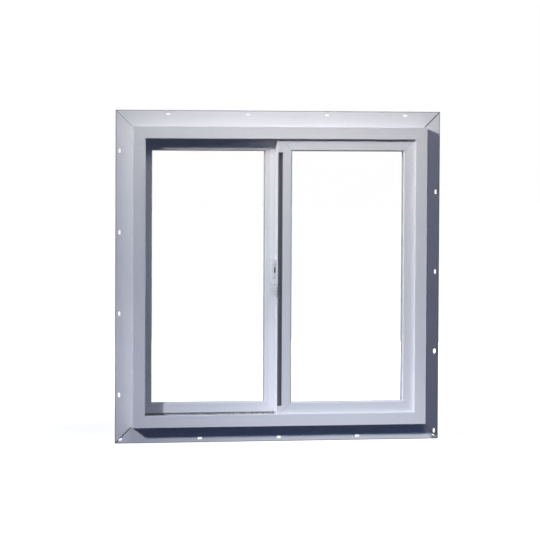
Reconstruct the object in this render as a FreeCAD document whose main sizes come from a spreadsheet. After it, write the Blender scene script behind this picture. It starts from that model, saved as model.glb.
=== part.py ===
import FreeCAD, Part
import os
import Sketcher

# Horizontal sliding window with a nail fin, seen from the room.
# X runs along the sill, Y from the room to the weather, Z up.
# The origin is the middle of the sill's underside, in the plane where the fin bears on the wall.

doc = FreeCAD.newDocument("sliding_window")
sheet = doc.addObject("Spreadsheet::Sheet", "size")

# Driving sizes in millimetres.
sizes = {
    # Frame extrusion, the same on all four sides
    "frame_width": 596.9,
    "frame_height": 596.9,
    "fin_setback": 25.4,
    "lip_height": 24.5,
    "room_lip": 2.6,
    "outer_lip": 8.5,
    "channel_floor": 13,
    "rib_height": 9,
    "rib_thickness": 3,
    "edge_round": 1,
    "lip_round": 0.9,
    "sight_round": 2,
    # Nail fin, snapped into the frame by a tongue
    "fin_width": 31.75,
    "fin_thickness": 1.8,
    "tongue_thickness": 1.2,
    "tongue_depth": 4,
    "slot_length": 9.2,
    "slot_width": 4.4,
    "slot_edge": 8,
    "slot_pitch": 161,
    "sill_first_slot": 9.8,
    "head_first_slot": 72.5,
    "left_first_slot": 80.7,
    "right_first_slot": 16.5,
    # Weep slots in the weather face of the sill
    "weep_length": 28,
    "weep_height": 5,
    "weep_rise": 15.5,
    "weep_end": 70,
    # Both panels: the fixed one on the weather side and the sash on the room side
    "panel_thickness": 21.2,
    "run_gap": 5,
    "edge_gap": 5,
    "meeting_overlap": 10.3,
    "rail_width": 29.2,
    "rebate_floor": 17.5,
    "room_leg": 4,
    "guide_groove": 9,
    "guide_groove_depth": 9.5,
    # Insulating glass with its gasket, spacer and beads
    "glass_edge": 19.5,
    "pane_thickness": 3,
    "spacer_thickness": 6.7,
    "spacer_width": 7.5,
    "gasket_thickness": 1,
    "gasket_proud": 1.2,
    "bead_toe": 0.8,
    "bead_slope": 5,
    # Reveal round the edge of the fixed panel, where its tongue goes into the channel
    "reveal_height": 8.4,
    "reveal_depth": 3.2,
    # Slope on the room face of the fixed panel's meeting stile, falling towards the glass
    "stile_flat": 6,
    "stile_slope": 14,
    "stile_fall": 2.3,
    # Finger pull along the sash's meeting stile
    "pull_lip": 1.6,
    "pull_width": 10.4,
    "pull_depth": 11,
    "pull_slope": 0.8,
    "pull_head": 33,
    "pull_foot": 22,
    # Glides, guides and setting blocks astride the ribs
    "shoe_length": 60,
    "shoe_end": 45,
    "shoe_play": 0.5,
    "seat_gap": 0.3,
    # Latch housing on the sash's edge, measured from the sash, from its own room face and from the pivot
    "latch_inset": 1.4,
    "latch_depth": 13,
    "pivot_drop": 12,
    "pivot_depth": 6.5,
    "case_reach": 10,
    "case_rise": 47,
    "case_drop": 3.6,
    "case_round": 2,
    "case_wall": 4.4,
    "case_front": 2.5,
    "plate_thickness": 2,
    "foot_drop": 27,
    "foot_setback": 6.5,
    "cavity_rise": 34.5,
    "window_low": 19,
    "window_high": 33,
    "window_round": 1.5,
    # Latch lever and its pin
    "pin_radius": 1.6,
    "pin_play": 0.05,
    "lever_play": 0.5,
    "hub_radius": 3.2,
    "arm_rise": 30,
    "arm_width": 3.4,
    "arm_lean": 2.6,
    "hook_reach": 5,
    "hook_height": 6,
    "hook_slope": 2,
    "neck_gap": 1.6,
    "neck_drop": 19,
    "tab_reach": 13.7,
    "tab_gap": 0.8,
    "tab_height": 21.6,
    "tab_proud": 5,
    "tab_thickness": 4.5,
    "tab_round": 2.5,
    "grip_pitch": 5.2,
    "grip_height": 2,
    "grip_depth": 0.9,
    "grip_margin": 3,
    # How far a cutting outline runs past the piece it cuts
    "overcut": 1,
}
for row, (alias, number) in enumerate(sizes.items(), start=1):
    sheet.set(f"A{row}", alias)
    sheet.set(f"B{row}", str(number))
    sheet.setAlias(f"B{row}", alias)
doc.recompute()

# Layers through the depth, from the room face to the weather face
room_face = "(-size.fin_setback)"
lip_back = f"({room_face} + size.room_lip)"
sash_front = f"({lip_back} + size.run_gap)"
sash_back = f"({sash_front} + size.panel_thickness)"
fixed_front = f"({sash_back} + size.run_gap)"
fixed_back = f"({fixed_front} + size.panel_thickness)"
weather_face = f"({fixed_back} + size.outer_lip)"
sash_middle = f"({sash_front} + size.panel_thickness / 2)"
fixed_middle = f"({fixed_front} + size.panel_thickness / 2)"

# Layers through the glass, from a panel's room face
gasket_front = "size.room_leg"
inner_pane_front = f"({gasket_front} + size.gasket_thickness)"
spacer_front = f"({inner_pane_front} + size.pane_thickness)"
outer_pane_front = f"({spacer_front} + size.spacer_thickness)"
glass_back = f"({outer_pane_front} + size.pane_thickness)"

# Outlines of the frame and the two panels
half_width = "(size.frame_width / 2)"
rib_top = "(size.channel_floor + size.rib_height)"
panel_rise = "(size.channel_floor + size.edge_gap)"
panel_top = f"(size.frame_height - {panel_rise})"
panel_width = f"({half_width} - size.channel_floor - size.edge_gap / 2 + size.meeting_overlap / 2)"
sash_right = f"({half_width} - {panel_rise})"
sash_left = f"({sash_right} - {panel_width})"
fixed_left = f"(size.channel_floor - {half_width})"
fixed_right = f"({fixed_left} + {panel_width})"
mid_height = "(size.frame_height / 2)"

pieces = []


def number_of(text):
    return float(sheet.evalExpression(text))


def new_body(label):
    body = doc.addObject("PartDesign::Body", label)
    body.Label = label
    pieces.append(body)
    return body


def place(piece, x="0", y="0", z="0", turn=0):
    piece.Placement = FreeCAD.Placement(
        FreeCAD.Vector(), FreeCAD.Rotation(FreeCAD.Vector(0, 1, 0), turn))
    for axis, text in (("x", x), ("y", y), ("z", z)):
        piece.setExpression(f"Placement.Base.{axis}", text)


def new_sketch(body, role, name):
    sketch = body.newObject("Sketcher::SketchObject", name)
    plane = next(item for item in body.Origin.OriginFeatures if item.Role == role)
    sketch.AttachmentSupport = [(plane, "")]
    sketch.MapMode = "FlatFace"
    return sketch


def bind(sketch, kind, geometry, point, text):
    index = sketch.addConstraint(Sketcher.Constraint(kind, geometry, point, number_of(text)))
    sketch.setExpression(f"Constraints[{index}]", text)


def fix_point(sketch, geometry, point, place_texts):
    bind(sketch, "DistanceX", geometry, point, place_texts[0])
    bind(sketch, "DistanceY", geometry, point, place_texts[1])


def vector(place_texts):
    return FreeCAD.Vector(number_of(place_texts[0]), number_of(place_texts[1]), 0)


def nearest_end(sketch, arc, target):
    return min((1, 2), key=lambda end: sketch.getPoint(arc, end).distanceToPoint(target))


def toward(start, end):
    run = end - start
    return [0 if abs(step) < 1e-6 else int(step / abs(step)) for step in (run.x, run.y)]


def draw_loop(sketch, corners):
    # A closed outline: each corner is x, y and, where it is rounded, a radius between square sides.
    points = [vector(corner) for corner in corners]
    arrive, leave = [], []
    for index, corner in enumerate(corners):
        x, y = corner[:2]
        if len(corner) == 2:
            arrive.append((x, y))
            leave.append((x, y))
            continue
        radius = corner[2]
        back = toward(points[index], points[index - 1])
        ahead = toward(points[index], points[(index + 1) % len(points)])
        arrive.append((f"{x} + {back[0]} * {radius}", f"{y} + {back[1]} * {radius}"))
        leave.append((f"{x} + {ahead[0]} * {radius}", f"{y} + {ahead[1]} * {radius}"))
    lines = []
    for index in range(len(corners)):
        start, end = leave[index], arrive[(index + 1) % len(corners)]
        lines.append(sketch.addGeometry(Part.LineSegment(vector(start), vector(end)), False))
    for index, corner in enumerate(corners):
        before, after = lines[index - 1], lines[index]
        fix_point(sketch, after, 1, leave[index])
        if len(corner) == 2:
            sketch.addConstraint(Sketcher.Constraint("Coincident", before, 2, after, 1))
            continue
        fix_point(sketch, before, 2, arrive[index])
        start, end = vector(arrive[index]), vector(leave[index])
        centre = start + end - points[index]
        outward = points[index] - centre
        middle = centre + outward * (number_of(corner[2]) / outward.Length)
        arc = sketch.addGeometry(Part.Arc(start, middle, end), False)
        first = nearest_end(sketch, arc, start)
        sketch.addConstraint(Sketcher.Constraint("Coincident", arc, first, before, 2))
        sketch.addConstraint(Sketcher.Constraint("Coincident", arc, 3 - first, after, 1))
        radius_index = sketch.addConstraint(Sketcher.Constraint("Radius", arc, number_of(corner[2])))
        sketch.setExpression(f"Constraints[{radius_index}]", corner[2])


def box_loop(low_x, high_x, low_y, high_y, radius=None):
    rounding = (radius,) if radius else ()
    return [(x, y) + rounding
            for x, y in ((low_x, low_y), (high_x, low_y), (high_x, high_y), (low_x, high_y))]


def draw_slot(sketch, x, y, length, width):
    half_run = f"({length} - {width}) / 2"
    low_y, high_y = f"{y} - {width} / 2", f"{y} + {width} / 2"
    left, right = f"{x} - {half_run}", f"{x} + {half_run}"
    corners = [(left, low_y), (right, low_y), (right, high_y), (left, high_y)]
    sides = []
    for start, end in ((0, 1), (2, 3)):
        line = Part.LineSegment(vector(corners[start]), vector(corners[end]))
        sides.append(sketch.addGeometry(line, False))
        fix_point(sketch, sides[-1], 1, corners[start])
        fix_point(sketch, sides[-1], 2, corners[end])
    for before, after, centre_x, way in ((sides[0], sides[1], right, 1), (sides[1], sides[0], left, -1)):
        start, end = sketch.getPoint(before, 2), sketch.getPoint(after, 1)
        middle = vector((f"{centre_x} + {way} * {width} / 2", y))
        arc = sketch.addGeometry(Part.Arc(start, middle, end), False)
        first = nearest_end(sketch, arc, start)
        sketch.addConstraint(Sketcher.Constraint("Coincident", arc, first, before, 2))
        sketch.addConstraint(Sketcher.Constraint("Coincident", arc, 3 - first, after, 1))
        bind(sketch, "DistanceX", arc, 3, centre_x)


def draw_circle(sketch, x, y, radius):
    centre = vector((x, y))
    circle = Part.Circle(centre, FreeCAD.Vector(0, 0, 1), number_of(radius))
    index = sketch.addGeometry(circle, False)
    fix_point(sketch, index, 3, (x, y))
    radius_index = sketch.addConstraint(Sketcher.Constraint("Radius", index, number_of(radius)))
    sketch.setExpression(f"Constraints[{radius_index}]", radius)


def pad_along(body, sketch, length, symmetric=False, reverse=False):
    pad = body.newObject("PartDesign::Pad", f"{sketch.Name}_pad")
    pad.Profile = sketch
    pad.setExpression("Length", length)
    pad.SideType = "Symmetric" if symmetric else "One side"
    pad.Reversed = reverse
    sketch.Visibility = False
    doc.recompute()
    return pad


def pocket(body, sketch, depth=None, reverse=False, symmetric=False):
    cut = body.newObject("PartDesign::Pocket", f"{sketch.Name}_pocket")
    cut.Profile = sketch
    before = body.Shape.Volume
    if depth is None:
        cut.Type = "ThroughAll"
        cut.SideType = "Symmetric"
    else:
        cut.setExpression("Length", depth)
        cut.SideType = "Symmetric" if symmetric else "One side"
        cut.Reversed = reverse
    doc.recompute()
    if body.Shape.Volume >= before:
        raise RuntimeError(f"{cut.Label} cuts nothing")
    return cut


def repeat_along(body, cut, axis, room, pitch):
    # The cut is repeated at one pitch for as far as the room goes.
    row = body.newObject("PartDesign::LinearPattern", f"{cut.Name}_row")
    row.Originals = [cut]
    row.Direction = (cut.Profile[0], [axis])
    count = f"(floor(({room}) / {pitch}) + 1)"
    row.setExpression("Occurrences", count)
    row.setExpression("Length", f"({count} - 1) * {pitch}")
    body.Tip = row
    doc.recompute()


def mitre(body, half_length, low, high):
    # Both ends are cut at 45 degrees, getting shorter inwards.
    sketch = new_sketch(body, "XZ_Plane", f"{body.Name}_mitre")
    for way in ("", "-"):
        draw_loop(sketch, [
            (f"{way}({half_length} - {low} + size.overcut)", f"{low} - size.overcut"),
            (f"{way}({half_length} - {low} + size.overcut)", f"{high} + size.overcut"),
            (f"{way}({half_length} - {high} - size.overcut)", f"{high} + size.overcut"),
        ])
    pocket(body, sketch)


def ring_of(low_x, high_x, low_z, high_z):
    # Where each side of a four-sided ring stands: turn about Y, place, and half length.
    mid_x, mid_z = f"({low_x} + {high_x}) / 2", f"({low_z} + {high_z}) / 2"
    half_x, half_z = f"(({high_x} - {low_x}) / 2)", f"(({high_z} - {low_z}) / 2)"
    return {
        "bottom": (0, mid_x, low_z, half_x),
        "top": (180, mid_x, high_z, half_x),
        "left": (90, low_x, mid_z, half_z),
        "right": (-90, high_x, mid_z, half_z),
    }


def mitred_length(label, side, profile, low, high, front="0"):
    # One straight length of an extrusion: drawn across, run along X, mitred and turned to its side.
    turn, x, z, half_length = side
    body = new_body(label)
    sketch = new_sketch(body, "YZ_Plane", f"{label}_profile")
    draw_loop(sketch, profile)
    pad_along(body, sketch, f"2 * ({half_length} - {low})", symmetric=True)
    mitre(body, half_length, low, high)
    place(body, x, front, z, turn)
    return body


# The frame: one extrusion with a room lip, two ribbed channels and an outer lip
def rib_corners(middle):
    front, back = f"{middle} - size.rib_thickness / 2", f"{middle} + size.rib_thickness / 2"
    return [(front, "size.channel_floor"), (front, rib_top), (back, rib_top), (back, "size.channel_floor")]


tongue_front = "(size.fin_thickness - size.tongue_thickness) / 2"
tongue_back = "(size.fin_thickness + size.tongue_thickness) / 2"
frame_profile = [
    (room_face, "0", "size.edge_round"),
    (room_face, "size.lip_height", "size.lip_round"),
    (lip_back, "size.lip_height", "size.lip_round"),
    (lip_back, "size.channel_floor"),
    *rib_corners(sash_middle),
    *rib_corners(fixed_middle),
    (fixed_back, "size.channel_floor"),
    (fixed_back, "size.lip_height", "size.edge_round"),
    (weather_face, "size.lip_height", "size.sight_round"),
    (weather_face, "0", "size.edge_round"),
    (tongue_back, "0"),
    (tongue_back, "size.tongue_depth"),
    (tongue_front, "size.tongue_depth"),
    (tongue_front, "0"),
]
frame_ring = ring_of(f"-{half_width}", half_width, "0", "size.frame_height")
frame_labels = {"bottom": "sill", "top": "head", "left": "left_jamb", "right": "right_jamb"}
frame = {}
for side, label in frame_labels.items():
    frame[side] = mitred_length(label, frame_ring[side], frame_profile, "0", "size.lip_height")


def weep_slots(body):
    sketch = new_sketch(body, "XZ_Plane", "weep_slots")
    for way in ("", "-"):
        middle = f"{way}({half_width} - size.weep_end)"
        draw_slot(sketch, middle, "size.weep_rise", "size.weep_length", "size.weep_height")
    sketch.setExpression("AttachmentOffset.Base.z", f"-{weather_face}")
    pocket(body, sketch, "size.outer_lip", reverse=True)


# The nail fin: a flat strip on each side, its tongue in the frame's groove, slots punched at one pitch
fin_profile = [
    ("0", "-size.fin_width"),
    ("size.fin_thickness", "-size.fin_width"),
    ("size.fin_thickness", "0"),
    (tongue_back, "0"),
    (tongue_back, "size.tongue_depth"),
    (tongue_front, "size.tongue_depth"),
    (tongue_front, "0"),
    ("0", "0"),
]


def nail_slots(body, half_length, first_slot):
    fin_end = f"({half_length} + size.fin_width)"
    sketch = new_sketch(body, "XZ_Plane", f"{body.Name}_slot")
    draw_slot(sketch, f"({first_slot} - {fin_end})", "(size.slot_edge - size.fin_width)",
              "size.slot_length", "size.slot_width")
    first = pocket(body, sketch)
    repeat_along(body, first, "H_Axis", f"2 * {fin_end} - {first_slot}", "size.slot_pitch")


fin_labels = {"bottom": "sill_fin", "top": "head_fin", "left": "left_fin", "right": "right_fin"}
for side, label in fin_labels.items():
    fin = mitred_length(label, frame_ring[side], fin_profile, "(-size.fin_width)", "size.tongue_depth")
    first_slot = f"size.{label.replace('_fin', '')}_first_slot"
    nail_slots(fin, frame_ring[side][3], first_slot)


# Panels: welded rails and stiles, glass against a gasket, beads on the weather side
groove_front = "(size.panel_thickness - size.guide_groove) / 2"
groove_back = "(size.panel_thickness + size.guide_groove) / 2"
stile_profile = [
    ("0", "0", "size.edge_round"),
    ("0", "size.rail_width", "size.sight_round"),
    ("size.room_leg", "size.rail_width"),
    ("size.room_leg", "size.rebate_floor"),
    ("size.panel_thickness", "size.rebate_floor"),
    ("size.panel_thickness", "0", "size.edge_round"),
]
guide_corners = [
    (groove_back, "0"),
    (groove_back, "size.guide_groove_depth"),
    (groove_front, "size.guide_groove_depth"),
    (groove_front, "0"),
]
rail_profile = stile_profile + guide_corners
tongued_profile = [
    ("size.reveal_depth", "0"),
    ("size.reveal_depth", "size.reveal_height"),
    ("0", "size.reveal_height", "size.edge_round"),
    *rail_profile[1:],
]
sloped_profile = [
    rail_profile[0],
    ("0", "size.stile_flat"),
    ("size.stile_fall", "size.stile_flat + size.stile_slope"),
    ("size.stile_fall", "size.rail_width", "size.edge_round"),
    *rail_profile[2:],
]
bead_profile = [
    (glass_back, "size.rebate_floor"),
    (glass_back, "size.rail_width"),
    (f"{glass_back} + size.bead_toe", "size.rail_width"),
    ("size.panel_thickness", "size.rail_width - size.bead_slope"),
    ("size.panel_thickness", "size.rebate_floor"),
]


def pane(label, left, right, front):
    sheet_of_glass = doc.addObject("Part::Box", label)
    sheet_of_glass.Label = label
    sheet_of_glass.setExpression("Length", f"{right} - {left} - 2 * size.glass_edge")
    sheet_of_glass.setExpression("Width", "size.pane_thickness")
    sheet_of_glass.setExpression("Height", f"{panel_top} - {panel_rise} - 2 * size.glass_edge")
    place(sheet_of_glass, f"{left} + size.glass_edge", front, f"{panel_rise} + size.glass_edge")
    pieces.append(sheet_of_glass)


def flat_ring(label, left, right, front, thickness, outer, inner):
    # A flat ring in the panel's plane, between two distances from the panel's edge.
    body = new_body(label)
    sketch = new_sketch(body, "XZ_Plane", f"{label}_outline")
    for inset in (outer, inner):
        draw_loop(sketch, box_loop(f"{left} + {inset}", f"{right} - {inset}",
                                   f"{panel_rise} + {inset}", f"{panel_top} - {inset}"))
    pad_along(body, sketch, thickness, reverse=True)
    place(body, y=front)


def panel(name, left, right, front, sides):
    ring = ring_of(left, right, panel_rise, panel_top)
    members = {}
    for side, (side_name, profile) in sides.items():
        members[side] = mitred_length(
            f"{name}_{side_name}", ring[side], profile, "0", "size.rail_width", front)
    for side in ring:
        mitred_length(f"{name}_{side}_bead", ring[side], bead_profile, "0", "size.rail_width", front)
    gasket_inner = "(size.rail_width + size.gasket_proud)"
    flat_ring(f"{name}_gasket", left, right, f"{front} + {gasket_front}",
              "size.gasket_thickness", "size.glass_edge", gasket_inner)
    flat_ring(f"{name}_spacer", left, right, f"{front} + {spacer_front}",
              "size.spacer_thickness", "size.glass_edge", "(size.glass_edge + size.spacer_width)")
    pane(f"{name}_room_pane", left, right, f"{front} + {inner_pane_front}")
    pane(f"{name}_weather_pane", left, right, f"{front} + {outer_pane_front}")
    return members


weep_slots(frame["bottom"])
panel("fixed", fixed_left, fixed_right, fixed_front, {
    "bottom": ("bottom_rail", tongued_profile),
    "top": ("top_rail", tongued_profile),
    "left": ("jamb_stile", tongued_profile),
    "right": ("meeting_stile", sloped_profile),
})
sash = panel("sash", sash_left, sash_right, sash_front, {
    "bottom": ("bottom_rail", rail_profile),
    "top": ("top_rail", rail_profile),
    "left": ("meeting_stile", stile_profile),
    "right": ("jamb_stile", rail_profile),
})


def notch_ends(body):
    # The ends of the plain stile stand astride the ribs of the sill and head.
    sketch = new_sketch(body, "XY_Plane", "rib_notches")
    half_length = f"(({panel_top} - {panel_rise}) / 2)"
    for way in ("", "-"):
        draw_loop(sketch, box_loop(f"{way}({half_length} - size.guide_groove_depth)",
                                   f"{way}({half_length} + size.overcut)", groove_front, groove_back))
    pocket(body, sketch)


def finger_pull(body):
    # A groove along the room face: upright behind a thin lip, sloping out on the other side.
    sketch = new_sketch(body, "YZ_Plane", "finger_pull")
    far_side = "size.pull_lip + size.pull_width"
    draw_loop(sketch, [
        ("-size.overcut", "size.pull_lip"),
        ("size.pull_depth", "size.pull_lip", "size.sight_round"),
        ("size.pull_depth", f"{far_side} - size.pull_slope"),
        ("0", far_side),
        ("-size.overcut", far_side),
    ])
    sketch.setExpression("AttachmentOffset.Base.z", "(size.pull_head - size.pull_foot) / 2")
    pocket(body, sketch, f"{panel_top} - {panel_rise} - size.pull_head - size.pull_foot", symmetric=True)


notch_ends(sash["left"])
finger_pull(sash["left"])


# Shoes astride the ribs: glides under the sash, guides over it, setting blocks under the fixed panel
def shoe(label, outline, x, z, turn, middle):
    body = new_body(label)
    sketch = new_sketch(body, "YZ_Plane", f"{label}_profile")
    draw_loop(sketch, outline)
    pad_along(body, sketch, "size.shoe_length", symmetric=True)
    place(body, x, middle, z, turn)


half_slot = "(size.rib_thickness / 2 + size.shoe_play)"
half_groove = "(size.guide_groove / 2)"
half_panel = "(size.panel_thickness / 2)"
groove_top = f"({panel_rise} + size.guide_groove_depth)"
slot_top = f"({rib_top} + size.seat_gap)"
glide_profile = [
    (f"-{half_groove}", panel_rise),
    (f"-{half_groove}", groove_top),
    (half_groove, groove_top),
    (half_groove, panel_rise),
    (half_slot, panel_rise),
    (half_slot, slot_top),
    (f"-{half_slot}", slot_top),
    (f"-{half_slot}", panel_rise),
]
block_front = f"(size.reveal_depth - {half_panel})"
block_profile = [
    (block_front, "size.channel_floor"),
    (block_front, panel_rise),
    (f"-{half_groove}", panel_rise),
    (f"-{half_groove}", groove_top),
    (half_groove, groove_top),
    (half_groove, panel_rise),
    (half_panel, panel_rise),
    (half_panel, "size.channel_floor"),
    (half_slot, "size.channel_floor"),
    (half_slot, slot_top),
    (f"-{half_slot}", slot_top),
    (f"-{half_slot}", "size.channel_floor"),
]
shoe_inset = "(size.rail_width + size.shoe_end)"
for end, sash_x, fixed_x in (
        ("left", f"{sash_left} + {shoe_inset}", f"{fixed_left} + {shoe_inset}"),
        ("right", f"{sash_right} - {shoe_inset}", f"{fixed_right} - {shoe_inset}")):
    shoe(f"sash_{end}_glide", glide_profile, sash_x, "0", 0, sash_middle)
    shoe(f"sash_{end}_guide", glide_profile, sash_x, "size.frame_height", 180, sash_middle)
    shoe(f"fixed_{end}_sill_block", block_profile, fixed_x, "0", 0, fixed_middle)
    shoe(f"fixed_{end}_head_block", block_profile, fixed_x, "size.frame_height", 180, fixed_middle)


# The latch: a housing on the sash's edge, and in its slot a lever that rocks on a cross pin.
# It is drawn from the sash's edge, with Y running back from the housing's room face and Z up from the pivot.
latch_front = f"({sash_front} + size.latch_inset)"
pivot_height = f"({mid_height} - size.pivot_drop)"
slot_left = "(size.case_wall - size.case_reach)"
slot_right = "(-size.plate_thickness)"
lever_left = f"({slot_left} + size.lever_play)"
lever_thickness = f"({slot_right} - {slot_left} - 2 * size.lever_play)"


def outline_pad(body, name, corners, front, depth):
    sketch = new_sketch(body, "XZ_Plane", f"{body.Name}_{name}")
    draw_loop(sketch, corners)
    sketch.setExpression("AttachmentOffset.Base.z", f"-({front})")
    pad_along(body, sketch, depth, reverse=True)


def outline_pocket(body, name, corners, front, depth):
    sketch = new_sketch(body, "XZ_Plane", f"{body.Name}_{name}")
    draw_loop(sketch, corners)
    sketch.setExpression("AttachmentOffset.Base.z", f"-({front})")
    return pocket(body, sketch, depth)


def cross_bore(body, radius):
    sketch = new_sketch(body, "YZ_Plane", f"{body.Name}_bore")
    draw_circle(sketch, "size.pivot_depth", "0", radius)
    pocket(body, sketch)


def latch_case():
    body = new_body("latch_case")
    outline_pad(body, "block", [
        ("-size.case_reach", "-size.case_drop", "size.case_round"),
        ("0", "-size.case_drop"),
        ("0", "size.case_rise"),
        ("-size.case_reach", "size.case_rise", "size.case_round"),
    ], "0", "size.latch_depth")
    outline_pad(body, "foot", box_loop(slot_right, "0", "-size.foot_drop", "size.case_rise"),
                "size.foot_setback", "size.latch_depth - size.foot_setback")
    outline_pocket(body, "slot", box_loop(slot_left, slot_right, "-size.case_drop - size.overcut",
                                          "size.cavity_rise"),
                   "size.case_front", "size.latch_depth")
    outline_pocket(body, "window", box_loop(slot_left, slot_right, "size.window_low", "size.window_high",
                                            "size.window_round"),
                   "0", "size.case_front + size.overcut")
    cross_bore(body, "size.pin_radius")
    place(body, sash_left, latch_front, pivot_height)


def latch_pin():
    pin = doc.addObject("Part::Cylinder", "latch_pin")
    pin.Label = "latch_pin"
    pin.setExpression("Radius", "size.pin_radius")
    pin.setExpression("Height", "size.case_reach")
    place(pin, f"{sash_left} - size.case_reach", f"{latch_front} + size.pivot_depth", pivot_height, 90)
    pieces.append(pin)


def latch_lever():
    body = new_body("latch_lever")
    plate = new_sketch(body, "YZ_Plane", "lever_plate")
    front, back = "size.pivot_depth - size.arm_width / 2", "size.pivot_depth + size.arm_width / 2"
    tip_front, tip_back = f"{front} + size.arm_lean", f"{back} + size.arm_lean"
    under_case = "-size.case_drop - size.neck_gap"
    in_tab = "-size.tab_proud + size.tab_thickness / 2"
    draw_loop(plate, [
        (in_tab, under_case),
        (front, under_case),
        (front, "0"),
        (tip_front, "size.arm_rise"),
        (f"{tip_back} + size.hook_reach", "size.arm_rise"),
        (f"{tip_back} + size.hook_reach", "size.arm_rise - size.hook_height + size.hook_slope"),
        (tip_back, "size.arm_rise - size.hook_height"),
        (back, "0"),
        (in_tab, "-size.neck_drop"),
    ])
    plate.setExpression("AttachmentOffset.Base.z", lever_left)
    pad_along(body, plate, lever_thickness)
    hub = new_sketch(body, "YZ_Plane", "lever_hub")
    draw_circle(hub, "size.pivot_depth", "0", "size.hub_radius")
    hub.setExpression("AttachmentOffset.Base.z", lever_left)
    pad_along(body, hub, lever_thickness)
    tab_top = "(-size.case_drop - size.tab_gap)"
    tab_bottom = f"({tab_top} - size.tab_height)"
    tab_right = "(-size.lever_play)"
    outline_pad(body, "tab", box_loop("-size.tab_reach", tab_right, tab_bottom, tab_top, "size.tab_round"),
                "-size.tab_proud", "size.tab_thickness")
    grip_low = f"({tab_bottom} + size.grip_margin)"
    grip = outline_pocket(body, "grip", box_loop(
        "-size.tab_reach - size.overcut", f"{tab_right} + size.overcut",
        grip_low, f"{grip_low} + size.grip_height"), "-size.tab_proud", "size.grip_depth")
    repeat_along(body, grip, "V_Axis", "size.tab_height - 2 * size.grip_margin - size.grip_height",
                 "size.grip_pitch")
    cross_bore(body, "size.pin_radius + size.pin_play")
    place(body, sash_left, latch_front, pivot_height)


latch_case()
latch_pin()
latch_lever()

doc.recompute()
for item in doc.Objects:
    if "Invalid" in item.State or "Error" in item.State:
        raise RuntimeError(f"{item.Label} failed: {item.State}")
for piece in pieces:
    if piece.Shape.isNull() or not piece.Shape.isValid():
        raise RuntimeError(f"{piece.Label} has no valid shape")

os.makedirs("parts", exist_ok=True)
for piece in pieces:
    piece.Shape.exportStep(f"parts/{piece.Label}.step")
print(f"{len(pieces)} pieces written")
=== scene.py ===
import math

import bpy
from mathutils import Euler, Matrix, Vector


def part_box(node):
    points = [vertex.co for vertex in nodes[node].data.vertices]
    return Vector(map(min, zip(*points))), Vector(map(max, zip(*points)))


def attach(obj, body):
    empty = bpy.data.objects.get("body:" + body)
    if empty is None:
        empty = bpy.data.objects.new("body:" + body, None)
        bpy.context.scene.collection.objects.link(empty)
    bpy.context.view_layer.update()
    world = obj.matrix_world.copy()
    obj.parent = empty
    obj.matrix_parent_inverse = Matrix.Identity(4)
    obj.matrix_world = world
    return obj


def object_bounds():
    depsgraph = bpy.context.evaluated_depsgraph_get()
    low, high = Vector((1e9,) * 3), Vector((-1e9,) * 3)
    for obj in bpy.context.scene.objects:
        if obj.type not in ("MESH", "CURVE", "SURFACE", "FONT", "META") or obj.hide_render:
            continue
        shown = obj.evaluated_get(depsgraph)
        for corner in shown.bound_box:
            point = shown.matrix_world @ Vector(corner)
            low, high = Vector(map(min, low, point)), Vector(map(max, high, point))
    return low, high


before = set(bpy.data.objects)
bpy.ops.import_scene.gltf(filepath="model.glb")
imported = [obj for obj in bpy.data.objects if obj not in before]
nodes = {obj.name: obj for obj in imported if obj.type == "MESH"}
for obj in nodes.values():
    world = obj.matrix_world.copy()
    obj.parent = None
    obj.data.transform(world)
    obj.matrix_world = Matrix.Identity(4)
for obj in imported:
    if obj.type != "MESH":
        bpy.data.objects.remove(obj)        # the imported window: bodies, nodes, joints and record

cadBox = [list(corner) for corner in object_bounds()]
mm = 0.001
middle = Vector((0, 0, (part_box("sill")[0][2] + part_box("head")[1][2]) / 2))
lipFront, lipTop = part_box("sill")[0][1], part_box("sill")[1][2]      # room face and edge of the frame's lip
print("window loaded,", len(nodes), "pieces")


# Colours are written as they look on screen
def linear(hexColour):
    channels = [int(hexColour[i:i + 2], 16) / 255 for i in (1, 3, 5)]
    return [c / 12.92 if c <= 0.04045 else ((c + 0.055) / 1.055) ** 2.4 for c in channels] + [1.0]


# Adds one node, sets its options and fills its inputs: a value is set, a socket is linked,
# and a node is linked by its first output in use
def addNode(tree, kind, options=None, inputs=None):
    node = tree.nodes.new(kind)
    for option, value in (options or {}).items():
        setattr(node, option, value)
    for socket, value in (inputs or {}).items():
        if isinstance(value, bpy.types.Node):
            value = next(output for output in value.outputs if output.enabled)
        if isinstance(value, bpy.types.NodeSocket):
            tree.links.new(value, node.inputs[socket])
        else:
            node.inputs[socket].default_value = value
    return node


def newMaterial(name):
    material = bpy.data.materials.new(name)
    material.use_nodes = True
    tree = material.node_tree
    tree.nodes.clear()
    return material, tree, addNode(tree, "ShaderNodeTexCoord").outputs["Object"]


# Options and inputs that many nodes share, and the places of a colour Mix node's inputs
eased = {"interpolation_type": "SMOOTHSTEP"}
fading = {"To Min": 1.0, "To Max": 0.0}
times = {"operation": "MULTIPLY"}
minus = {"operation": "SUBTRACT"}
within = {"operation": "COMPARE"}
inColour = {"data_type": "RGBA"}
factor, under, over = 0, 6, 7
white = linear("#FFFFFF")

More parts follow.
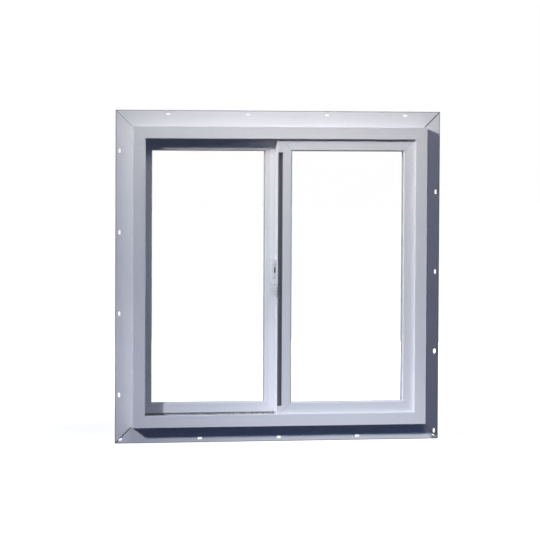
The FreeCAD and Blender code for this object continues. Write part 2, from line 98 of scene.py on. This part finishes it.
# Extruded rigid PVC: a smooth, slightly glossy white skin with faint draw lines along each length,
# a trace of cloudiness and a line where the mitres meet; darker marks, some of them painted shade, only where
# a ring names them
vinyl = {
    "colour": "#F0F1F3",
    "roughness": 0.36,
    "uneven": 0.05,               # how far the roughness strays
    "unevenEnds": (0.2, 0.8),     # noise levels at which it strays that far
    "ior": 1.53,
    "drawLine": 2.2 * mm,         # finer in life, drawn this wide so that it shows
    "drawLength": 600 * mm,
    "drawDetail": 2.0,
    "drawDepth": 0.05 * mm,
    "drawStrength": 0.12,
    "cloud": "#E4E6EA",
    "cloudSize": 70 * mm,
    "cloudDetail": 3.0,
    "cloudShare": 0.5,            # the draw lines have the rest
    "grime": "#7D746B",
    "grimeSize": 5 * mm,
    "grimeDetail": 4.0,
    "grimeEnds": (0.3, 0.7),      # noise levels at which the patches are thinnest and fullest
    "grimeLeast": 0.45,
}


# The lines where a ring's lengths meet, as masks and colours: a mitre lies where the distances to the
# ring's side and to its top or bottom are equal
def mitreLayers(tree, centred, edge, seams):
    layers = []
    side = addNode(tree, "ShaderNodeSeparateXYZ", inputs={0: centred}).outputs
    slope = addNode(tree, "ShaderNodeMath", times, {0: side["X"], 1: side["Z"]})
    for diagonal, seam in zip(("GREATER_THAN", "LESS_THAN"), seams):
        share = addNode(tree, "ShaderNodeMath", {"operation": diagonal}, {0: slope, 1: 0.0})
        mitre = addNode(tree, "ShaderNodeMath", within, {0: edge["X"], 1: edge["Z"], 2: seam["width"]})
        layers.append((addNode(tree, "ShaderNodeMath", times, {0: mitre, 1: share}), seam["colour"]))
    return layers


# The darker marks that a ring names, as masks and colours; those at the fin's edges and in the pull's groove
# are painted shade
def ringMarkLayers(tree, place, edge, ring):
    layers = []
    at = addNode(tree, "ShaderNodeSeparateXYZ", inputs={0: place}).outputs
    specks = addNode(tree, "ShaderNodeTexNoise", inputs={
        "Vector": place, "Scale": 1 / vinyl["grimeSize"], "Detail": vinyl["grimeDetail"]})
    thinnest, fullest = vinyl["grimeEnds"]
    patches = addNode(tree, "ShaderNodeMapRange", eased, {
        "Value": specks, "From Min": thinnest, "From Max": fullest, "To Min": vinyl["grimeLeast"]})
    if "rim" in ring:         # painted shade along the fin's outer edges
        rim = ring["rim"]
        nearest = addNode(tree, "ShaderNodeMath", {"operation": "MINIMUM"}, {0: edge["X"], 1: edge["Z"]})
        outermost = addNode(tree, "ShaderNodeMapRange", eased, {
            "Value": nearest, "From Min": rim["full"], "From Max": rim["none"], **fading})
        layers.append((outermost, rim["colour"]))
    if "cornerBlot" in ring:      # darker in patches round one corner
        cornerBlot = ring["cornerBlot"]
        off = addNode(tree, "ShaderNodeVectorMath", {"operation": "DISTANCE"}, {0: place, 1: cornerBlot["at"]})
        near = addNode(tree, "ShaderNodeMapRange", eased, {
            "Value": off, "From Min": cornerBlot["full"], "From Max": cornerBlot["none"], **fading})
        layers.append((addNode(tree, "ShaderNodeMath", times, {0: near, 1: patches}), cornerBlot["colour"]))
    if "footBand" in ring:    # darker and brownish in patches along the foot, just above the lip
        foot = ring["footBand"]
        low = addNode(tree, "ShaderNodeMapRange", eased, {
            "Value": at["Z"], "From Min": foot["full"], "From Max": foot["none"],
            "To Min": foot["share"], "To Max": 0.0})
        layers.append((addNode(tree, "ShaderNodeMath", times, {0: low, 1: patches}), vinyl["grime"]))
    if "groove" in ring:      # painted shade, darker deeper into the finger groove
        groove = ring["groove"]
        deep = addNode(tree, "ShaderNodeMapRange", eased, {
            "Value": at["Y"], "From Min": groove["mouth"], "From Max": groove["floor"]})
        inside = addNode(tree, "ShaderNodeMath", within, {
            0: at["X"], 1: groove["middle"], 2: groove["half"]})
        layers.append((addNode(tree, "ShaderNodeMath", times, {0: deep, 1: inside}), groove["colour"]))
    return layers


def whiteVinyl(name, upright, ring):
    material, tree, place = newMaterial(name)
    fine, slow = 1 / vinyl["drawLine"], 1 / vinyl["drawLength"]
    along = (fine, fine, slow) if upright else (slow, fine, fine)
    drawn = addNode(tree, "ShaderNodeMapping", inputs={"Vector": place, "Scale": along})
    lines = addNode(tree, "ShaderNodeTexNoise", inputs={
        "Vector": drawn, "Scale": 1.0, "Detail": vinyl["drawDetail"]})
    cloud = addNode(tree, "ShaderNodeTexNoise", inputs={
        "Vector": place, "Scale": 1 / vinyl["cloudSize"], "Detail": vinyl["cloudDetail"]})
    blend = addNode(tree, "ShaderNodeMix", inputs={"Factor": vinyl["cloudShare"], "A": lines, "B": cloud})

    # How far in from the ring's edges
    centred = addNode(tree, "ShaderNodeVectorMath", minus, {0: place, 1: ring["centre"]})
    folded = addNode(tree, "ShaderNodeVectorMath", {"operation": "ABSOLUTE"}, {0: centred})
    inward = addNode(tree, "ShaderNodeVectorMath", minus, {0: ring["half"], 1: folded})
    edge = addNode(tree, "ShaderNodeSeparateXYZ", inputs={0: inward}).outputs

    # Masks and the colours that they lay on, lowest first
    layers = [(blend, vinyl["cloud"])]
    layers += mitreLayers(tree, centred, edge, ring["seams"])
    layers += ringMarkLayers(tree, place, edge, ring)
    tone = linear(vinyl["colour"])
    for mask, colour in layers:
        tone = addNode(tree, "ShaderNodeMix", inColour, {factor: mask, under: tone, over: linear(colour)})
    smoothest, roughest = vinyl["unevenEnds"]
    gloss = addNode(tree, "ShaderNodeMapRange", eased, {
        "Value": lines, "From Min": smoothest, "From Max": roughest,
        "To Min": vinyl["roughness"] - vinyl["uneven"], "To Max": vinyl["roughness"] + vinyl["uneven"]})
    relief = addNode(tree, "ShaderNodeBump", inputs={
        "Strength": vinyl["drawStrength"], "Distance": vinyl["drawDepth"], "Height": lines})
    skin = addNode(tree, "ShaderNodeBsdfPrincipled", inputs={
        "Base Color": tone, "Roughness": gloss, "IOR": vinyl["ior"], "Normal": relief})
    addNode(tree, "ShaderNodeOutputMaterial", inputs={"Surface": skin})
    return material


# Which lengths belong to which mitred ring; uprights run along Z. The first seam is for the top right and
# bottom left corners, the second for the other two; the fin's mitres look open at the first pair, where the
# dark line is painted shade
welded = {"colour": "#E6E8EB", "width": 0.3 * mm}
trimmed = {"colour": "#C3C6CE", "width": 0.45 * mm}
sashLengths = ["sash_bottom_rail", "sash_top_rail", "sash_jamb_stile", "sash_meeting_stile"]
finRight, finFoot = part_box("right_fin")[1][0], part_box("sill_fin")[0][2]
pullEdge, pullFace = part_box("sash_meeting_stile")[0][:2]      # outer edge and room face of the sash's stile
rings = {
    "frame": {"across": ["head", "sill"], "upright": ["left_jamb", "right_jamb"], "seams": (welded, welded)},
    "fin": {"across": ["head_fin", "sill_fin"], "upright": ["left_fin", "right_fin"],
            # the first seam's dark line is painted shade, for the shadow in an open mitre
            "seams": ({"colour": "#4A4D55", "width": 1.3 * mm}, {"colour": "#A9ACB3", "width": 0.8 * mm}),
            # painted shade along the fin's outer edges
            "rim": {"colour": "#8E9197", "full": 0.72 * mm, "none": 1.8 * mm},
            "cornerBlot": {"colour": "#3C4049", "full": 3.4 * mm, "none": 17 * mm,
                       "at": (finRight - 4.2 * mm, 0, finFoot + 3.75 * mm)}},
    "fixedLite": {"across": ["fixed_bottom_rail", "fixed_top_rail", "fixed_bottom_bead", "fixed_top_bead"],
                  "upright": ["fixed_meeting_stile", "fixed_jamb_stile", "fixed_left_bead",
                              "fixed_right_bead"],
                  "seams": (welded, welded),
                  "footBand": {"share": 0.7, "full": lipTop + 1.7 * mm, "none": lipTop + 4 * mm}},
    "sash": {"across": ["sash_bottom_rail", "sash_top_rail", "sash_bottom_bead", "sash_top_bead"],
             "upright": ["sash_jamb_stile", "sash_left_bead", "sash_right_bead"],
             "seams": (trimmed, trimmed), "span": sashLengths},
    "sashPull": {"across": [], "upright": ["sash_meeting_stile"], "seams": (trimmed, trimmed),
                 "span": sashLengths,
                 # painted shade in the finger groove, darker deeper in
                 "groove": {"colour": "#A0A2A8", "mouth": pullFace + 0.4 * mm, "floor": pullFace + 6.8 * mm,
                            "middle": pullEdge + 6.8 * mm, "half": 5.4 * mm}},
}
for name, ring in rings.items():
    span = ring.get("span", ring["across"] + ring["upright"])
    corners = [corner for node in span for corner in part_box(node)]
    low = Vector([min(c[i] for c in corners) for i in range(3)])
    high = Vector([max(c[i] for c in corners) for i in range(3)])
    ring["centre"], ring["half"] = (low + high) / 2, (high - low) / 2
    for way in ("across", "upright"):
        if not ring[way]:
            continue
        skin = whiteVinyl(f"white vinyl, {name} {way}", way == "upright", ring)
        for node in ring[way]:
            nodes[node].data.materials.clear()
            nodes[node].data.materials.append(skin)
print("vinyl done")

# Clear float glass, thin enough to look straight through: faint reflections and a wiped film
# that blurs them here and there
glass = {"colour": "#FFFFFF", "facing": 0.1, "share": 0.5,
         "film": 0.06,                # roughness where the film is thickest
         "filmFrom": 0.4,             # noise level at which it begins
         "filmSize": 90 * mm, "filmDetail": 4.0}


def floatGlass():
    material, tree, place = newMaterial("clear float glass")
    smears = addNode(tree, "ShaderNodeTexNoise", inputs={
        "Vector": place, "Scale": 1 / glass["filmSize"], "Detail": glass["filmDetail"]})
    haze = addNode(tree, "ShaderNodeMapRange", eased, {
        "Value": smears, "From Min": glass["filmFrom"], "To Max": glass["film"]})
    through = addNode(tree, "ShaderNodeBsdfTransparent", inputs={"Color": linear(glass["colour"])})
    mirror = addNode(tree, "ShaderNodeBsdfGlossy", inputs={"Color": white, "Roughness": haze})
    slant = addNode(tree, "ShaderNodeLayerWeight", inputs={"Blend": glass["facing"]})
    share = addNode(tree, "ShaderNodeMath", times, {0: slant.outputs["Facing"], 1: glass["share"]})
    pane = addNode(tree, "ShaderNodeMixShader", inputs={0: share, 1: through, 2: mirror})
    addNode(tree, "ShaderNodeOutputMaterial", inputs={"Surface": pane})
    return material


# Moulded, rolled and coated parts: one colour that a grain shades, roughens and raises
finishes = {
    # co-extruded soft PVC: matt pale grey, slightly rubbery
    "gasket": {"name": "soft PVC gasket", "colour": "#C6C9CB", "shade": "#B8BBBE", "roughness": 0.62,
               "ior": 1.5, "grain": 1.2 * mm, "depth": 0.03 * mm},
    # mill-finish aluminium, rolled: a soft grey sheen
    "spacer": {"name": "mill aluminium", "colour": "#B7BABD", "shade": "#A4A8AC", "roughness": 0.4,
               "metallic": 1.0, "grain": 0.8 * mm, "depth": 0.01 * mm},
    # natural acetal: waxy off-white
    "acetal": {"name": "moulded acetal", "colour": "#E6E4DC", "shade": "#DAD8CF", "roughness": 0.42,
               "ior": 1.48, "grain": 2.5 * mm, "depth": 0.02 * mm},
    # glass-filled nylon from a spark-eroded mould: fine, dry grain, with painted shade in its creases
    "latch": {"name": "moulded nylon", "colour": "#FBFBFB", "shade": "#F1F2F3", "roughness": 0.42,
              "ior": 1.53, "grain": 0.5 * mm, "depth": 0.03 * mm,
              "creaseShade": {"colour": "#85878C", "reach": 4 * mm, "full": 0.2, "none": 0.72}},
    # acetal coloured dark: the arm inside the latch housing, painted shade for the housing's window
    "shadeArm": {"name": "acetal, dark for painted shade", "colour": "#3A3B3E", "shade": "#2E2F32", "roughness": 0.45,
            "ior": 1.48, "grain": 1.5 * mm, "depth": 0.02 * mm},
    # soft white PVC: dull, faintly mottled
    "seal": {"name": "soft PVC seal", "colour": "#EDEEF0", "shade": "#E2E4E7", "roughness": 0.55,
             "ior": 1.5, "grain": 1.0 * mm, "depth": 0.02 * mm},
    # white-coated steel: harder gloss than the mouldings
    "screw": {"name": "white-coated steel", "colour": "#F4F4F3", "shade": "#EBECEC", "roughness": 0.22,
              "ior": 1.5, "grain": 0.7 * mm, "depth": 0.01 * mm},
    # zinc-plated steel: bright, faintly mottled
    "pin": {"name": "zinc-plated steel", "colour": "#B4B6B8", "shade": "#9EA1A4", "roughness": 0.34,
            "metallic": 1.0, "grain": 0.6 * mm, "depth": 0.01 * mm},
}
grain = {"detail": 2.0, "strength": 0.3, "uneven": 0.06}      # uneven: how far the roughness strays


def grained(finish):
    material, tree, place = newMaterial(finish["name"])
    mottle = addNode(tree, "ShaderNodeTexNoise", inputs={
        "Vector": place, "Scale": 1 / finish["grain"], "Detail": grain["detail"]})
    tone = addNode(tree, "ShaderNodeMix", inColour, {
        factor: mottle, under: linear(finish["colour"]), over: linear(finish["shade"])})
    if "creaseShade" in finish:    # painted shade where little light gets in
        creaseShade = finish["creaseShade"]
        openness = addNode(tree, "ShaderNodeAmbientOcclusion", inputs={"Distance": creaseShade["reach"]})
        shadeInCreases = addNode(tree, "ShaderNodeMapRange", eased, {
            "Value": openness.outputs["AO"],
            "From Min": creaseShade["full"], "From Max": creaseShade["none"], **fading})
        tone = addNode(tree, "ShaderNodeMix", inColour, {
            factor: shadeInCreases, under: tone, over: linear(creaseShade["colour"])})
    gloss = addNode(tree, "ShaderNodeMapRange", eased, {
        "Value": mottle, "To Min": finish["roughness"] - grain["uneven"],
        "To Max": finish["roughness"] + grain["uneven"]})
    relief = addNode(tree, "ShaderNodeBump", inputs={
        "Strength": grain["strength"], "Distance": finish["depth"], "Height": mottle})
    body = {"Metallic": finish["metallic"]} if "metallic" in finish else {"IOR": finish["ior"]}
    skin = addNode(tree, "ShaderNodeBsdfPrincipled", inputs={
        "Base Color": tone, "Roughness": gloss, "Normal": relief, **body})
    addNode(tree, "ShaderNodeOutputMaterial", inputs={"Surface": skin})
    return material


skins = {name: grained(finish) for name, finish in finishes.items()}
skins["glass"] = floatGlass()
worn = {"_pane": "glass", "_gasket": "gasket", "_spacer": "spacer", "_glide": "acetal", "_guide": "acetal",
        "_block": "acetal", "latch_case": "latch", "latch_lever": "latch", "latch_pin": "pin"}
for name, node in nodes.items():
    for ending, skin in worn.items():
        if name.endswith(ending):
            node.data.materials.clear()
            node.data.materials.append(skins[skin])

# The lever's arm is coloured dark as painted shade in the housing's window; its thumb tab stays white
lever = nodes["latch_lever"].data
lever.materials.append(skins["shadeArm"])
tabHeight = 22 * mm
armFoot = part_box("latch_lever")[0][2] + tabHeight
for face in lever.polygons:
    if face.center.z > armFoot:
        face.material_index = 1
print("glass, gaskets, acetal and latch done")

# Soft seal behind the room lip, all round: a mitred strip with a rounded nose just short of the sash
seal = {"thickness": 3.4 * mm, "depth": 4.4 * mm, "nose": 1.2 * mm, "noseSteps": 4,
        "lip": 2.6 * mm,              # thickness of the lip that it stands behind
        "hidden": 0.2 * mm}           # how far the lip's edge stands past it
sealBack = lipFront + seal["lip"]
sealTop = lipTop - seal["hidden"]
reach = middle.z - sealTop            # from the middle of the window to the strip's inner face
length = 2 * (reach + seal["thickness"])
bpy.ops.object.select_all(action="DESELECT")
bpy.ops.mesh.primitive_cube_add(size=1, scale=(length, seal["depth"], seal["thickness"]), location=(
    0, sealBack + seal["depth"] / 2, sealTop - seal["thickness"] / 2))
bpy.ops.object.transform_apply(location=True, rotation=False, scale=True)
sillSeal = bpy.context.object
sillSeal.name = "sillSeal"
bpy.ops.object.mode_set(mode="EDIT")
bpy.ops.mesh.select_mode(type="EDGE")
bpy.ops.mesh.select_all(action="DESELECT")
bpy.ops.object.mode_set(mode="OBJECT")
for edge in sillSeal.data.edges:      # the two long edges on the sash side
    ends = [sillSeal.data.vertices[end].co for end in edge.vertices]
    edge.select = ends[0].x * ends[1].x < 0 and ends[0].y > sealBack + seal["depth"] / 2
bpy.ops.object.mode_set(mode="EDIT")
bpy.ops.mesh.bevel(offset=seal["nose"], segments=seal["noseSteps"], affect="EDGES")
for way in (-1, 1):                   # mitre both ends
    bpy.ops.mesh.select_all(action="SELECT")
    bpy.ops.mesh.bisect(plane_co=(way * reach, 0, sealTop), plane_no=(way, 0, 1),
                        use_fill=True, clear_outer=True)
bpy.ops.mesh.select_all(action="SELECT")
bpy.ops.mesh.normals_make_consistent(inside=False)
bpy.ops.object.mode_set(mode="OBJECT")
sillSeal.data.materials.append(skins["seal"])
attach(sillSeal, "frame")
for name, quarter in (("leftSeal", 1), ("headSeal", 2), ("rightSeal", 3)):
    strip = sillSeal.copy()
    strip.data = sillSeal.data.copy()
    strip.name = name
    bpy.context.collection.objects.link(strip)
    turn = Matrix.Translation(middle) @ Matrix.Rotation(quarter * math.pi / 2, 4, "Y")
    strip.data.transform(turn @ Matrix.Translation(-middle))
    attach(strip, "frame")
print("seals done")

# Two pan-head screws on the latch housing, with a cross recess
screw = {"radius": 3.1 * mm, "sides": 32, "height": 1.7 * mm, "round": 1.2 * mm, "roundSteps": 5,
         "slot": 0.8 * mm, "cross": 3.6 * mm, "deep": 0.8 * mm, "smooth": 35, "squareOn": 0.9,
         "drops": (8.45 * mm, 36.45 * mm)}        # from the housing's top to each head's middle
caseLow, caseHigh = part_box("latch_case")
screwX, caseFace = (caseLow[0] + caseHigh[0]) / 2, caseLow[1]
upperZ, lowerZ = [caseHigh[2] - drop for drop in screw["drops"]]
bpy.ops.object.select_all(action="DESELECT")
bpy.ops.mesh.primitive_cylinder_add(
    vertices=screw["sides"], radius=screw["radius"], depth=screw["height"], rotation=(math.pi / 2, 0, 0),
    location=(screwX, caseFace - screw["height"] / 2, upperZ))
bpy.ops.object.transform_apply(location=True, rotation=True, scale=False)
upperScrew = bpy.context.object
upperScrew.name = "upperLatchScrew"
bpy.ops.object.mode_set(mode="EDIT")
bpy.ops.mesh.select_mode(type="FACE")
bpy.ops.mesh.select_all(action="DESELECT")
bpy.ops.object.mode_set(mode="OBJECT")
for face in upperScrew.data.polygons:             # the face towards the room
    face.select = face.normal.y < -screw["squareOn"]
bpy.ops.object.mode_set(mode="EDIT")
bpy.ops.mesh.bevel(offset=screw["round"], segments=screw["roundSteps"], affect="EDGES")
bpy.ops.object.mode_set(mode="OBJECT")
for wide, tall in ((screw["cross"], screw["slot"]), (screw["slot"], screw["cross"])):
    bpy.ops.object.select_all(action="DESELECT")
    bpy.ops.mesh.primitive_cube_add(size=1, scale=(wide, 2 * screw["deep"], tall), location=(
        screwX, caseFace - screw["height"], upperZ))
    bpy.ops.object.transform_apply(location=True, rotation=False, scale=True)
    cutter = bpy.context.object
    bpy.ops.object.select_all(action="DESELECT")
    upperScrew.select_set(True)
    bpy.context.view_layer.objects.active = upperScrew
    recess = upperScrew.modifiers.new("recess", "BOOLEAN")
    recess.operation = "DIFFERENCE"
    recess.object = cutter
    bpy.ops.object.modifier_apply(modifier=recess.name)
    bpy.data.objects.remove(cutter)
bpy.ops.object.shade_smooth_by_angle(angle=math.radians(screw["smooth"]))
upperScrew.data.materials.clear()
upperScrew.data.materials.append(skins["screw"])
lowerScrew = upperScrew.copy()
lowerScrew.data = upperScrew.data.copy()
lowerScrew.name = "lowerLatchScrew"
bpy.context.collection.objects.link(lowerScrew)
lowerScrew.data.transform(Matrix.Translation((0, 0, lowerZ - upperZ)))
for piece in (upperScrew, lowerScrew):
    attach(piece, "sash")
print("latch screws done")

# Pale floor under the fin's lower edge: to the eye it is near white, keeps a faint shadow and turns white
# farther off; in reflections it is greyer, and the light that it throws back is dim and bluish
floor = {"size": 40.0, "drop": 0.2 * mm, "colour": "#C4C6CA", "bounce": "#14213F", "roughness": 0.9,
         "lift": 0.78, "mirrored": 0.3, "near": 0.35, "far": 0.95}
bpy.ops.object.select_all(action="DESELECT")
bpy.ops.mesh.primitive_plane_add(size=floor["size"], location=(0, 0, cadBox[0][2] - floor["drop"]))
floorPlane = bpy.context.object
floorPlane.name = "paleFloor"
bpy.ops.object.transform_apply(location=True, rotation=False, scale=False)
ground, tree, place = newMaterial("pale studio floor")
ray = addNode(tree, "ShaderNodeLightPath").outputs
seen = addNode(tree, "ShaderNodeMath", {"operation": "MAXIMUM"}, {
    0: ray["Is Camera Ray"], 1: ray["Is Transmission Ray"]})
away = addNode(tree, "ShaderNodeVectorMath", {"operation": "LENGTH"}, {0: place})
whiter = addNode(tree, "ShaderNodeMapRange", eased, {
    "Value": away, "From Min": floor["near"], "From Max": floor["far"], "To Min": floor["lift"]})
shown = addNode(tree, "ShaderNodeMath", times, {0: seen, 1: whiter})
mirrored = addNode(tree, "ShaderNodeMath", times, {0: ray["Is Glossy Ray"], 1: floor["mirrored"]})
lift = addNode(tree, "ShaderNodeMath", {"operation": "ADD"}, {0: shown, 1: mirrored})
cast = addNode(tree, "ShaderNodeMix", inColour, {
    factor: seen, under: linear(floor["bounce"]), over: linear(floor["colour"])})
matt = addNode(tree, "ShaderNodeBsdfPrincipled", inputs={
    "Base Color": cast, "Roughness": floor["roughness"], "Specular IOR Level": 0.0,
    "Emission Color": white, "Emission Strength": lift})
addNode(tree, "ShaderNodeOutputMaterial", inputs={"Surface": matt})
floorPlane.data.materials.append(ground)

# White surroundings to the eye, greyer in reflections, a dim bluish sky where they light the window
sky = {"white": 1.0, "mirrored": 0.45, "tint": "#6E8CE0", "level": 0.21}
world = bpy.data.worlds.new("studio")
bpy.context.scene.world = world
world.use_nodes = True
tree = world.node_tree
tree.nodes.clear()
ray = addNode(tree, "ShaderNodeLightPath").outputs
seen = addNode(tree, "ShaderNodeMath", {"operation": "MAXIMUM"}, {
    0: ray["Is Camera Ray"], 1: ray["Is Transmission Ray"]})
dim = addNode(tree, "ShaderNodeBackground", inputs={"Color": linear(sky["tint"]), "Strength": sky["level"]})
grey = addNode(tree, "ShaderNodeBackground", inputs={"Color": white, "Strength": sky["mirrored"]})
bright = addNode(tree, "ShaderNodeBackground", inputs={"Color": white, "Strength": sky["white"]})
unseen = addNode(tree, "ShaderNodeMixShader", inputs={0: ray["Is Glossy Ray"], 1: dim, 2: grey})
around = addNode(tree, "ShaderNodeMixShader", inputs={0: seen, 1: unseen, 2: bright})
addNode(tree, "ShaderNodeOutputWorld", inputs={"Surface": around})

# Lamps, from the middle of the window: three small keys close together at the upper left, aimed high, to the
# right and low, a soft lamp overhead, and a soft lamp behind for the weather side
lamps = {
    "keyHigh": {"kind": "SPOT", "offset": (-4.3, -3.4, 2.3), "aim": (-0.06, 0, 0.53), "power": 2000.0,
                "colour": "#FFFBF6", "size": 0.28, "cone": 8.6},
    "keyMid": {"kind": "SPOT", "offset": (-4.3, -3.4, 2.5), "aim": (0.45, 0, 0.02), "power": 390.0,
               "colour": "#FFFBF6", "size": 0.25, "cone": 7.5},
    "keyLow": {"kind": "SPOT", "offset": (-4.3, -3.4, 2.72), "aim": (0.26, 0, -0.45), "power": 2200.0,
               "colour": "#F2F6FF", "size": 0.32, "cone": 9.3},
    "overhead": {"kind": "AREA", "offset": (0.0, -2.0, 2.6), "aim": (0, 0, 0), "power": 17.0,
                 "colour": "#FFF9F0", "size": 1.2},
    "rear": {"kind": "AREA", "offset": (1.2, 2.6, 0.3), "aim": (0, 0, 0), "power": 62.0,
             "colour": "#FFFDF8", "size": 1.6},
}
poolBlend = 1.0               # each key's pool of light fades from its middle to its rim
for name, lamp in lamps.items():
    bpy.ops.object.light_add(type=lamp["kind"], location=middle + Vector(lamp["offset"]))
    light = bpy.context.object
    light.name = name + "Lamp"
    toward = middle + Vector(lamp["aim"]) - light.location
    light.rotation_euler = toward.to_track_quat("-Z", "Y").to_euler()
    light.data.energy = lamp["power"]
    light.data.color = linear(lamp["colour"])[:3]
    if lamp["kind"] == "SPOT":
        light.data.shadow_soft_size = lamp["size"]
        light.data.spot_size = math.radians(lamp["cone"])
        light.data.spot_blend = poolBlend
    else:
        light.data.shape = "DISK"
        light.data.size = lamp["size"]
print("floor, sky and lamps done")

# The photograph's view: slightly left of square on and a little above; angles in degrees
view = {"distance": 5.858, "aside": 11.81, "above": 2.66, "pan": -11.63, "tilt": -2.54, "roll": -0.28,
        "sensor": 36, "lens": 195.41, "shiftX": 0.0004, "shiftY": 0.0002}
level = 90                    # a new camera looks straight down
aside, above = math.radians(view["aside"]), math.radians(view["above"])
seat = middle + view["distance"] * Vector((
    -math.sin(aside) * math.cos(above), -math.cos(aside) * math.cos(above), math.sin(above)))
bpy.ops.object.camera_add(location=seat)
camera = bpy.context.object
camera.name = "photoCamera"
turn = Euler((0, 0, math.radians(view["pan"]))).to_matrix()
turn = turn @ Euler((math.radians(level + view["tilt"]), 0, 0)).to_matrix()
turn = turn @ Euler((0, 0, math.radians(-view["roll"]))).to_matrix()
camera.rotation_euler = turn.to_euler()
camera.data.sensor_width = view["sensor"]
camera.data.lens = view["lens"]
camera.data.shift_x = view["shiftX"]
camera.data.shift_y = view["shiftY"]
camera.data.clip_end = 2 * floor["size"]
bpy.context.scene.camera = camera
bpy.context.scene.view_settings.view_transform = "Standard"
print("camera done")
